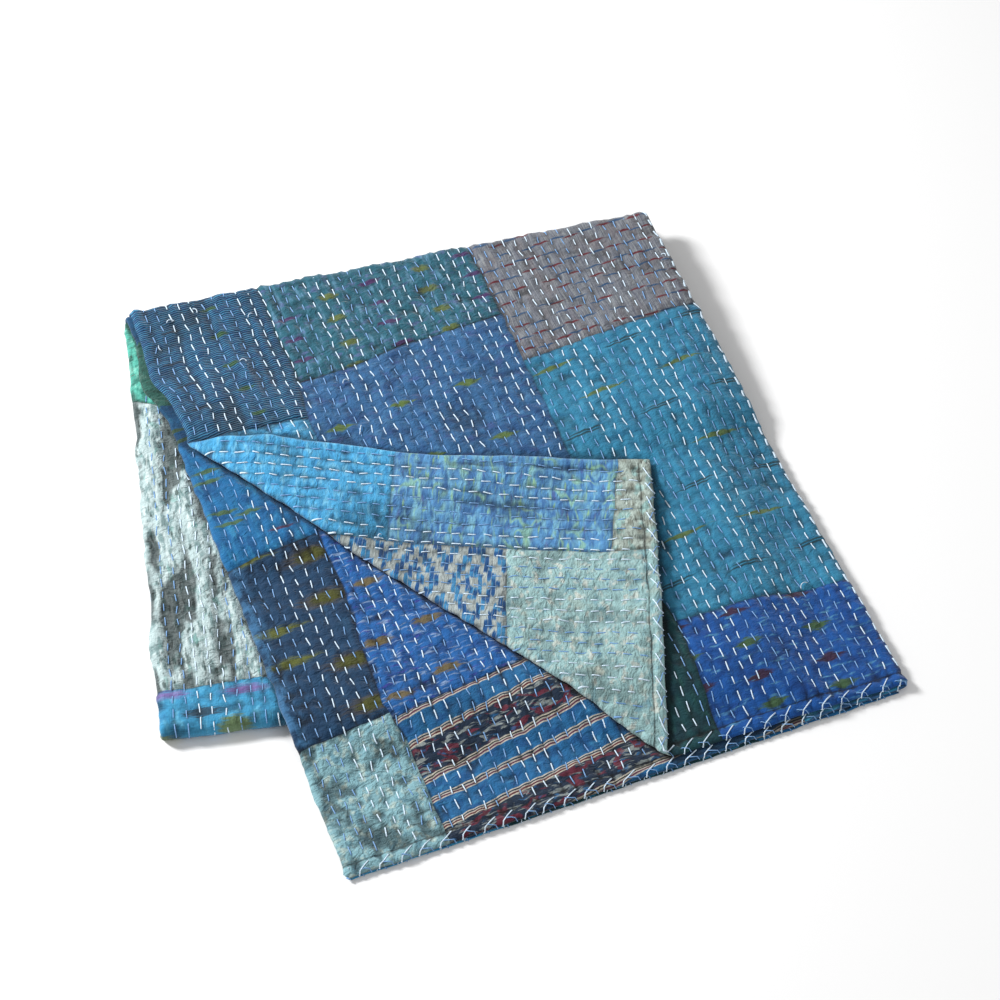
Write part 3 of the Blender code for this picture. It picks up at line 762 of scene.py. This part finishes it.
def taupe(dye):
    dye.cloud((182, 174, 166), 0.6, 0.9, 20, 0.48, 0.62, 1)
    dye.cloud((84, 82, 94), 0.65, 1.1, 16, 0.5, 0.64, 2)
    dye.cloud((128, 108, 104), 0.5, 12, 30, 0.45, 0.7, 3, 2)
    dye.lay((36, 78, 114), 0.9, dye.marks((7.0, 0.85), 0.8, 4, shift=11))
    dye.lay((112, 26, 36), 0.95, dye.marks((6.4, 1.0), 0.78, 7))


def turquoise(dye):
    dye.cloud((74, 174, 202), 0.5, 16, 6, 0.5, 0.72, 1)
    dye.cloud((20, 100, 140), 0.55, 20, 8, 0.48, 0.7, 2)
    dark = [(343, 348.5), (403.7, 357.9), (404, 288), (343, 278.7), (279.4, 275.4), (341, 204.4), (404, 210),
            (403, 133.5), (346, 125.2), (288, 126.9), (281, 204)]
    for du, dv, seed in ((0, 0, 1), (4, 2.7, 2)):
        dye.spots((20, 66, 74), 0.9, [(u + du, v + dv) for u, v in dark], (15, 0.85), lean=0.07, seed=seed)
    dye.spots((84, 122, 44), 0.9, [(377.3, 316.7), (310.2, 310.1), (376.7, 244), (378.9, 169.2), (314, 166),
            (281.6, 343.6)], (21, 2.2), 0.8, 3, leaf=True, lean=0.1)


def royal(dye):
    dye.cloud((14, 56, 128), 0.6, 16, 10, 0.46, 0.66, 1)
    dye.cloud((128, 170, 208), 0.65, 13, 3.2, 0.56, 0.74, 2)
    dye.spots((76, 28, 42), 0.9, [(319.6, 90), (371.8, 94), (272.8, 91.7), (316.8, 35.5), (372.4, 37.3),
            (272.2, 41), (424, 95), (424, 40)], (12, 3.8), 0.8, leaf=True)
    dye.spots((82, 94, 34), 0.9, [(318.5, 62), (374.6, 65.8), (272.2, 64.8), (371.3, 14.2), (317.4, 15.3)],
            (12, 4.2), 0.8, 4, leaf=True)


def bottle(dye):
    dye.cloud((12, 52, 60), 0.6, 10, 14, 0.45, 0.65, 1, 2)
    dye.cloud((44, 104, 84), 0.5, 3, 16, 0.54, 0.7, 2, 2)


def periwinkle(dye):
    dye.cloud((56, 98, 164), 0.75, 18, 5.0, 0.4, 0.64, 1, 1, warp=0.7)
    dye.cloud((136, 188, 220), 0.7, 17, 4.6, 0.48, 0.7, 2, 1, warp=0.7)
    line = dye.off(dye.noise(22, 11, 3, detail=0.0, warp=0.6), 0.5)
    curls = dye.step(line, 0.085, 0.012)
    dye.lay((164, 204, 160), 0.55, dye.times(curls, dye.blots(24, 20, 0.44, 0.6, 5, 2)))
    dye.cloud((150, 186, 140), 0.75, 15, 3.2, 0.62, 0.74, 9, 1)
    dye.cloud((88, 84, 152), 0.5, 14, 4.0, 0.6, 0.72, 6, 2)


def greige(dye):
    bars = dye.wave(dye.axis(0), 17)
    bands = dye.wave(dye.axis(1), 14)
    dye.lay((120, 112, 92), 0.6, dye.step(dye.times(bars, bands), 0.0, 0.9))
    dye.cloud((86, 82, 70), 0.65, 6, 3, 0.54, 0.68, 2)
    dye.cloud((146, 190, 178), 0.6, 12, 9, 0.5, 0.66, 4, 2)
    dye.cloud((218, 220, 200), 0.65, 8, 2.4, 0.54, 0.7, 3)


def diamond(dye):
    """Two nested diamonds in short bars, as an ikat weave draws them."""
    half_width, half_height, bar, soft = 52.0, 21.7, 3.2, 0.05
    jag = dye.swing(dye.noise(50, 1.3, 1, detail=1.0), 6.0)
    v = dye.minus(dye.axis(1), 149.0)
    column = dye.times(dye.plus(dye.math("FLOOR", dye.math("DIVIDE", v, bar)), 0.5), bar)
    across = dye.math("PINGPONG", dye.plus(dye.minus(dye.axis(0), 105.5), jag), half_width)
    along = dye.math("PINGPONG", column, half_height)
    lattice = dye.plus(dye.math("DIVIDE", across, half_width), dye.math("DIVIDE", along, half_height))
    ring = dye.math("PINGPONG", lattice, 1.0)
    inner, outer = [dye.times(dye.step(ring, low, low + soft), dye.step(ring, high + soft, high))
                    for low, high in ((0.13, 0.36), (0.55, 0.82))]
    between = dye.off(v, column)
    mask = dye.times(dye.math("MAXIMUM", inner, outer), dye.step(between, 1.7, 1.25))
    mask = dye.times(mask, dye.blots(9, 1.0, 0.26, 0.4, 4, 2))
    dye.cloud((224, 222, 206), 0.5, 9, 2.0, 0.5, 0.66, 3, 2)
    dye.cloud((118, 122, 120), 0.6, 7, 1.6, 0.5, 0.66, 8, 2)
    dye.lay((56, 146, 196), 0.95, mask)
    dye.lay((20, 70, 132), 0.85, dye.times(mask, dye.blots(11, 9, 0.44, 0.54, 6, 2)))


def cobalt(dye):
    dye.cloud((14, 50, 122), 0.65, 14, 9, 0.46, 0.64, 1)
    dye.cloud((142, 156, 214), 0.7, 11, 2.6, 0.55, 0.68, 2)
    dye.cloud((60, 46, 158), 0.65, 12, 3.4, 0.6, 0.72, 3, 2)
    dye.spots((104, 84, 44), 0.9, [(746.3, 212.7), (715.6, 166.5), (756.3, 160.4), (717.8, 121.4),
            (756.3, 112), (716, 212)], (10.5, 3.4), 0.8)


STRIPE_GROUPS = (95.3, 75.7, 48.0, 31.4, 9.9, -18.0, -37.0)     # mm, on the skewed scale of the cloth
STRIPES = ((-2.4, -1.5, (196, 192, 178)), (-1.5, -0.4, (96, 24, 40)), (-0.4, 0.5, (190, 184, 172)),
           (0.5, 1.4, (22, 24, 34)), (1.4, 2.2, (196, 192, 178)))
DARK_BANDS = ((48.0, 75.7), (-18.0, 9.9))


def striped(dye):
    skewed = dye.plus(dye.axis(1), dye.times(dye.minus(dye.axis(0), 765.0), 0.137))
    skewed = dye.plus(skewed, dye.swing(dye.noise(22, 22, 1), 3.5))
    dye.cloud((10, 66, 126), 0.6, 12, 12, 0.46, 0.66, 2)
    dye.cloud((66, 150, 200), 0.45, 12, 7, 0.56, 0.72, 5)
    ragged = dye.plus(skewed, dye.swing(dye.noise(4, 4, 3), 2.0))

    def band(value, low, high, soft=0.25):
        return dye.times(dye.step(value, low - soft, low + soft), dye.step(value, high + soft, high - soft))

    for low, high in DARK_BANDS:
        dark = band(skewed, low, high)
        dye.lay((20, 34, 54), 0.95, dark)
        dye.lay((146, 158, 160), 0.75, dye.times(dark, dye.blots(12, 3.4, 0.53, 0.62, 7, warp=0.9)))
        wine = dye.blots(15, 8, 0.54, 0.6, 8, 2, warp=0.6)
        dye.lay((98, 34, 54), 0.9, dye.times(band(ragged, low + 3, high - 3, 1.5), wine))
        dye.lay((30, 96, 150), 0.7, dye.times(dark, dye.blots(9, 4, 0.6, 0.68, 9, 2)))
    for at in STRIPE_GROUPS:
        for low, high, colour in STRIPES:
            dye.lay(colour, 0.9, band(skewed, at + low, at + high))


def seafoam(dye):
    dye.cloud((198, 214, 192), 0.65, 6, 7, 0.5, 0.66, 1)
    dye.cloud((78, 132, 148), 0.6, 8, 9, 0.52, 0.7, 2)


def mint(dye):
    dye.cloud((212, 224, 204), 0.65, 7, 6, 0.5, 0.68, 1)
    dye.cloud((104, 166, 178), 0.6, 9, 8, 0.53, 0.7, 2)
    dye.cloud((150, 168, 146), 0.4, 14, 18, 0.58, 0.72, 3, 2)


def painted_fold_highlight(dye):
    """A painted highlight, paler blue in blots, along the left fold of the fan."""
    rim = dye.step(dye.axis(0), 1000 * U_SECOND - 11, 1000 * U_SECOND - 3)
    dye.lay((78, 134, 190), 0.7, dye.times(rim, dye.blots(6, 9, 0.36, 0.58, 7)))


def navy(dye):
    dye.cloud((38, 86, 128), 0.5, 10, 10, 0.5, 0.7, 1)
    dye.cloud((14, 36, 64), 0.55, 14, 9, 0.5, 0.7, 2)
    ovals = [(776, 248.4), (776.6, 210.5), (777, 152.2), (775.5, 113.7)]
    streaks = [(822, 195.1), (820, 166), (827, 258.9)]
    dye.spots((92, 78, 66), 0.75, ovals, (19, 6.6), 0.9, feather=0.5)
    dye.spots((82, 82, 22), 0.92, ovals, (12.5, 5.2), 0.7, 3)
    dye.spots((112, 114, 40), 0.9, streaks, (24, 4.4), 0.9, 5, leaf=True, feather=0.4)
    painted_fold_highlight(dye)


def bright(dye):
    dye.cloud((14, 70, 136), 0.65, 14, 18, 0.46, 0.68, 1)
    dye.cloud((64, 152, 214), 0.55, 7, 20, 0.52, 0.7, 2)
    dye.spots((86, 106, 52), 0.85, [(824.5, 346.4), (826.1, 336.5), (824.5, 305.1), (807, 299.1),
            (822.5, 293.5), (831.6, 382.6), (836, 393.1)], (10, 1.9), 0.8, 2)
    dye.spots((92, 40, 70), 0.85, [(788, 277)], (10, 1.3))


def fern(dye):
    dye.cloud((120, 192, 156), 0.6, 5, 10, 0.5, 0.68, 1, 2)
    dye.cloud((30, 96, 76), 0.7, 7, 8, 0.5, 0.66, 2)
    dye.cloud((70, 60, 40), 0.7, 7, 2.4, 0.62, 0.7, 3, 2)


def blotched(dye):
    dye.cloud((108, 134, 132), 0.75, 5, 12, 0.47, 0.6, 1, 4)
    dye.cloud((54, 72, 66), 0.8, 3.6, 12, 0.56, 0.66, 2, 4)
    dye.cloud((116, 172, 160), 0.5, 8, 14, 0.58, 0.7, 3, 2)
    dye.cloud((230, 234, 228), 0.7, 3.2, 13, 0.5, 0.66, 4, 2)


def azure(dye):
    dye.cloud((92, 184, 220), 0.5, 7, 9, 0.52, 0.72, 1)
    dye.cloud((24, 96, 148), 0.55, 12, 9, 0.5, 0.7, 2)
    dye.spots((112, 52, 140), 0.6, [(842, 872), (899, 874)], (14, 3.4), 1.0, feather=0.7)
    dye.spots((34, 58, 78), 0.85, [(867.3, 889.2)], (14, 3.6), 0.9, 2)
    dye.spots((88, 120, 56), 0.85, [(888.8, 899.6), (838, 905)], (11, 4.2), 0.8, 3)


# Pattern, base colour, fading by washing (factors on red, green and blue), and where they aren't the usual
# ones how crumpled the cloth is and how much shade is painted where its relief dips.
DYES = {
    "ribbed": (ribbed, (44, 104, 142), (0.26, 0.48, 0.61), 1.0, 0.5),
    "sky": (sky, (62, 158, 206), (0.95, 0.77, 0.77), 1.2, 0.7),
    "plum": (plum, (42, 112, 118), (0.5, 0.47, 0.61), 1.4, 0.9),
    "denim": (denim, (54, 104, 156), (0.56, 0.64, 0.62), 1.4, 0.45),
    "taupe": (taupe, (134, 128, 132), (0.51, 0.61, 0.68)),
    "turquoise": (turquoise, (42, 140, 174), (0.87, 0.59, 0.63)),
    "royal": (royal, (24, 84, 166), (0.42, 0.67, 0.62)),
    "bottle": (bottle, (24, 82, 78), (0.42, 0.45, 0.6)),
    "periwinkle": (periwinkle, (92, 146, 204), (0.68, 0.76, 0.68)),
    "greige": (greige, (174, 176, 158), (0.64, 0.75, 0.86), 1.8, 0.6),
    "mint": (mint, (150, 198, 192), (0.81, 0.71, 0.77), 2.2, 0.3),
    "diamond": (diamond, (186, 192, 186), (0.58, 0.62, 0.66)),
    "cobalt": (cobalt, (24, 86, 172), (0.67, 0.76, 0.55), 1.3, 1.0),
    "striped": (striped, (28, 98, 152), (0.72, 0.69, 0.65), 1.3, 0.8),
    "seafoam": (seafoam, (140, 188, 190), (0.62, 0.61, 0.67), 2.4, 0.6),
    "navy": (navy, (26, 66, 106), (0.48, 0.53, 0.49), 1.3, 0.8),
    "bright": (bright, (28, 108, 178), (0.56, 0.67, 0.55)),
    "fern": (fern, (62, 148, 118), (1.2, 1.0, 1.3), 1.6, 0.9),
    "blotched": (blotched, (192, 202, 198), (0.58, 0.66, 0.7), 1.9, 0.75),
    "azure": (azure, (46, 140, 190), (1.25, 0.86, 0.77)),
}


def cotton(name):
    """The finish of one of the quilt's cloths."""
    pattern, base, wash, *crumple = DYES[name]
    dye = Dye(name + "_cotton", base, wash)
    pattern(dye)
    return dye.done(*crumple)


def thread_finish(name, colour):
    return Dye(name, colour, rough=0.6, sheen=0.4).done(weave=0.1, thread=0.4, slub=1.2, wear=0.05, hollow_shade=0)


points, flats, faces, slots, rises = quilt_cloth()
points = points + SHIFT
quilt = mesh_object("quilt_cloth", points, faces, flats, [cotton(name) for name in CLOTHS], slots)
quilt.data.attributes.new("rise", "FLOAT", "POINT").data.foreach_set("value", rises * 1000)
# Distance in from the hem and from the edges, where the dyes paint shade in the hem's groove and a highlight on
# the rim.
hem_gap = np.where(flats[:, 1] < 0.3, flats[:, 1] - hem_at(flats[:, 0]), 0.099)
side_gap = edge_gap(*flats[:, :2].T)
hem_gap = np.where(side_gap < 0.004, np.minimum(hem_gap, side_gap), hem_gap)
quilt.data.attributes.new("hem", "FLOAT", "POINT").data.foreach_set("value", hem_gap * 1000)
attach(quilt, "root")
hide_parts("quilt")

# --- Threads ---
SIDES = 6     # of a thread's cross-section


def tubes(paths, radius, reference):
    """Threads along paths (count, rings, 3) drawn on the flat sheet, closed and folded with it."""
    count, rings = paths.shape[:2]
    along = np.gradient(paths, axis=1)
    along /= np.linalg.norm(along, axis=2, keepdims=True)
    aside = np.cross(along, np.broadcast_to(reference, along.shape))
    aside /= np.linalg.norm(aside, axis=2, keepdims=True)
    outward = np.cross(aside, along)
    turn = 2 * math.pi * np.arange(SIDES) / SIDES
    ring = (paths[:, :, None] + radius * (np.cos(turn)[:, None] * aside[:, :, None]
                                          + np.sin(turn)[:, None] * outward[:, :, None]))
    flat = ring.reshape(-1, 3)
    folded = (fold(*flat.T) + SHIFT).reshape(count, rings, SIDES, 3)
    folded[..., 2] += np.maximum(0.0001 - folded[..., 2].min(axis=2), 0)[..., None]     # rests on the floor
    points = folded.reshape(-1, 3)
    step = np.arange(SIDES)
    quads = []
    for r in range(rings - 1):
        here, there = r * SIDES + step, r * SIDES + (step + 1) % SIDES
        quads += [np.column_stack([here, there, there + SIDES]),
                  np.column_stack([here, there + SIDES, here + SIDES])]
    for base in (0, (rings - 1) * SIDES):
        fan = np.column_stack([np.full(SIDES - 2, base), base + step[1:-1], base + step[2:]])
        quads.append(fan[:, ::-1] if base == 0 else fan)
    one = np.vstack(quads)
    faces = (one[None] + (np.arange(count) * rings * SIDES)[:, None, None]).reshape(-1, 3)
    return points, faces, flat


def white_row(face, u, row):
    """Three rows in white and three in blue, by turns; the reverse of the corner runs otherwise."""
    phase = np.where((face == 1) & (u < U_FIRST), 0, np.where(u > U_SECOND, 5, 2))
    return (row - phase) % 6 < 3


# A running stitch: heights above the cloth at parts of its length, and the lengths on either face.
PROFILE = np.array([-0.7, 0.25, 0.42, 0.42, 0.25, -0.7]) / 1000
PROFILE_AT = np.array([-0.5, -0.41, -0.15, 0.15, 0.41, 0.5])
STITCH_LENGTHS = (0.0074, 0.007)


def running_stitches(face):
    """Middle lines of all running stitches that show on one face, and which are white."""
    rng = np.random.default_rng(11 + face)
    rows, steps = np.meshgrid(np.arange(-1, 138), np.arange(-1, 136), indexing="ij")
    rows, steps = rows.ravel(), steps.ravel()
    start = ROW_STARTS[rows + 1]
    middle = (steps + start + 0.5 * face + rng.uniform(-0.06, 0.06, len(rows))) * STITCH_STEP
    length = STITCH_LENGTHS[face] * rng.uniform(0.78, 1.16, len(rows))
    u = ROW_FIRST + rows * ROW_PITCH
    u = u + wander(u, middle)
    lean = rng.uniform(-0.0005, 0.0005, len(rows))
    seen = (shown(face, u, middle) > 0.5) & (edge_gap(u, middle) > 0.005)
    seen &= middle - length / 2 - hem_at(u) > 0.0098
    seen &= np.abs(u - U_SECOND - THIRD_BEND / 2) > THIRD_BEND
    for other in (-0.5, 0.5):
        seen &= edge_gap(u, middle + other * length) > 0.0015
    rows, middle, length, u, lean = (a[seen] for a in (rows, middle, length, u, lean))
    v = middle[:, None] + length[:, None] * PROFILE_AT
    across = u[:, None] + lean[:, None] * PROFILE_AT * 2
    w = face_height(face, across.ravel(), v.ravel()).reshape(v.shape) + PROFILE
    return np.stack([across, v, w if face == 0 else -w], axis=2), white_row(face, u, rows)


def thread_object(name, parts, finish):
    points, faces, flats = zip(*parts)
    firsts = np.cumsum([0] + [len(part) for part in points])
    faces = np.vstack([part + first for part, first in zip(faces, firsts)])
    obj = mesh_object(name, np.vstack(points), faces, np.vstack(flats), [finish])
    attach(obj, "root")
    return obj


WHIP_STEP = 0.015


def whip_stitches(offset, slant, reach, seed):
    """Slanting stitches that go round the hem of the sheet."""
    rng = np.random.default_rng(seed)
    u = np.arange(0.004 + offset, SHEET_WIDTH - 0.004, WHIP_STEP)
    u = u + rng.uniform(-0.0015, 0.0015, len(u))
    deep = reach * rng.uniform(0.8, 1.1, (2, len(u)))
    lean = slant * rng.uniform(0.8, 1.15, (2, len(u)))
    hem = hem_at(u)
    paths = []
    for side, sign in ((0, 1), (1, -1)):
        for t in (1.0, 0.9, 0.5, 0.12) if side == 0 else (0.12, 0.5, 0.9, 1.0):
            across = u + sign * lean[side] * t
            v = hem + 0.0006 + deep[side] * t
            height = face_height(side, across, v) + (-0.0007 if t == 1.0 else 0.0004)
            paths.append(np.column_stack([across, v, sign * height]))
        if side == 0:
            paths.append(np.column_stack([u, hem - 0.0011, np.zeros(len(u))]))
    return np.stack(paths, axis=1)


def loose_threads():
    """Short tails of thread that stand out of the cloth where a length ran out."""
    paths = []
    for face, u, v, heading, length in (
            (0, 26.9, 494.9, 1.9, 8), (0, 45.1, 496.5, 0.7, 7), (0, 80.8, 477.3, 1.4, 6),
            (0, 60.5, 435.4, 0.4, 7), (0, 133.1, 386.5, 2.2, 8), (0, 122.6, 334.3, 1.2, 8),
            (0, 384.4, 100.0, 2.4, 10), (1, 68.2, 218.2, 1.6, 5), (1, 836.0, 345.0, 1.0, 8),
            (0, 407.0, 422.3, 0.3, 6), (1, 836.0, 2.0, 0.2, 11), (0, 376.2, 240.7, 2.0, 6),
            (0, 12.0, 470.0, 2.6, 7)):
        t = np.linspace(0, 1, 9)
        turn = heading + 2.4 * t * math.sin(u)
        du, dv = np.cumsum(np.cos(turn)) * length / 9000, np.cumsum(np.sin(turn)) * length / 9000
        here_u, here_v = u / 1000 + du, v / 1000 + dv
        height = face_height(face, here_u, here_v) + 0.0005 + 0.0014 * np.sin(math.pi * t * 0.8)
        paths.append(np.column_stack([here_u, here_v, height if face == 0 else -height]))
    return np.stack(paths)


WHITE_RADIUS, BLUE_RADIUS, TAIL_RADIUS = 0.00047, 0.00042, 0.00034
WHITE_HEM_RADIUS, BLUE_HEM_RADIUS = 0.00045, 0.00036
UP, ACROSS = np.array([0.0, 0.0, 1.0]), np.array([1.0, 0.0, 0.0])
white_parts, blue_parts = [], []
for face in (0, 1):
    paths, white = running_stitches(face)
    white_parts.append(tubes(paths[white], WHITE_RADIUS, UP))
    blue_parts.append(tubes(paths[~white], BLUE_RADIUS, UP))
white_parts.append(tubes(whip_stitches(0.0, 0.0108, 0.007, 21), WHITE_HEM_RADIUS, ACROSS))
blue_parts.append(tubes(whip_stitches(0.005, -0.007, 0.0026, 22), BLUE_HEM_RADIUS, ACROSS))
white_parts.append(tubes(loose_threads(), TAIL_RADIUS, UP))
threads = [thread_object("white_stitches", white_parts, thread_finish("white_thread", (214, 234, 250))),
           thread_object("blue_stitches", blue_parts, thread_finish("blue_thread", (120, 165, 215)))]

# --- Floor, light and camera ---
floor_finish = bpy.data.materials.new("studio_floor")
floor_finish.use_nodes = True
floor_shade = (246 / 255) ** 2.2
feed(floor_finish.node_tree.nodes["Principled BSDF"], Base_Color=(floor_shade, floor_shade, floor_shade, 1.0),
     Roughness=0.85)
floor_mesh = bpy.data.meshes.new("floor")
floor_mesh.from_pydata([(-6, -6, 0), (6, -6, 0), (6, 6, 0), (-6, 6, 0)], [], [(0, 1, 2, 3)])
floor_mesh.materials.append(floor_finish)
floor = in_scene("floor", floor_mesh)

world = bpy.data.worlds.new("studio")
world.use_nodes = True
feed(world.node_tree.nodes["Background"], Color=(1.0, 1.0, 1.0, 1.0), Strength=0.44)
bpy.context.scene.world = world


def area_light(name, place, size, power):
    """A square lamp aimed at the middle of the quilt."""
    lamp = bpy.data.lights.new(name, "AREA")
    lamp.size, lamp.energy = size, power
    holder = in_scene(name, lamp)
    holder.location = place
    holder.rotation_euler = (-Vector(place)).to_track_quat("-Z", "Y").to_euler()


area_light("key", (-1.45, 1.25, 1.35), size=0.55, power=76)
area_light("fill", (1.0, -1.9, 1.9), size=1.6, power=9)

AZIMUTH, ELEVATION, DISTANCE = math.radians(-21.4147), math.radians(52.626), 1.91722
AIM = Vector((0.04477, 0.00045, 0.0))
back = Vector((math.sin(AZIMUTH) * math.cos(ELEVATION), -math.cos(AZIMUTH) * math.cos(ELEVATION),
               math.sin(ELEVATION)))
camera_data = bpy.data.cameras.new("camera")
camera_data.sensor_width, camera_data.lens = 36.0, 91.87
camera = in_scene("camera", camera_data)
camera.location = AIM + back * DISTANCE
camera.rotation_euler = back.to_track_quat("Z", "Y").to_euler()
bpy.context.scene.camera = camera
bpy.context.scene.view_settings.view_transform = "Standard"
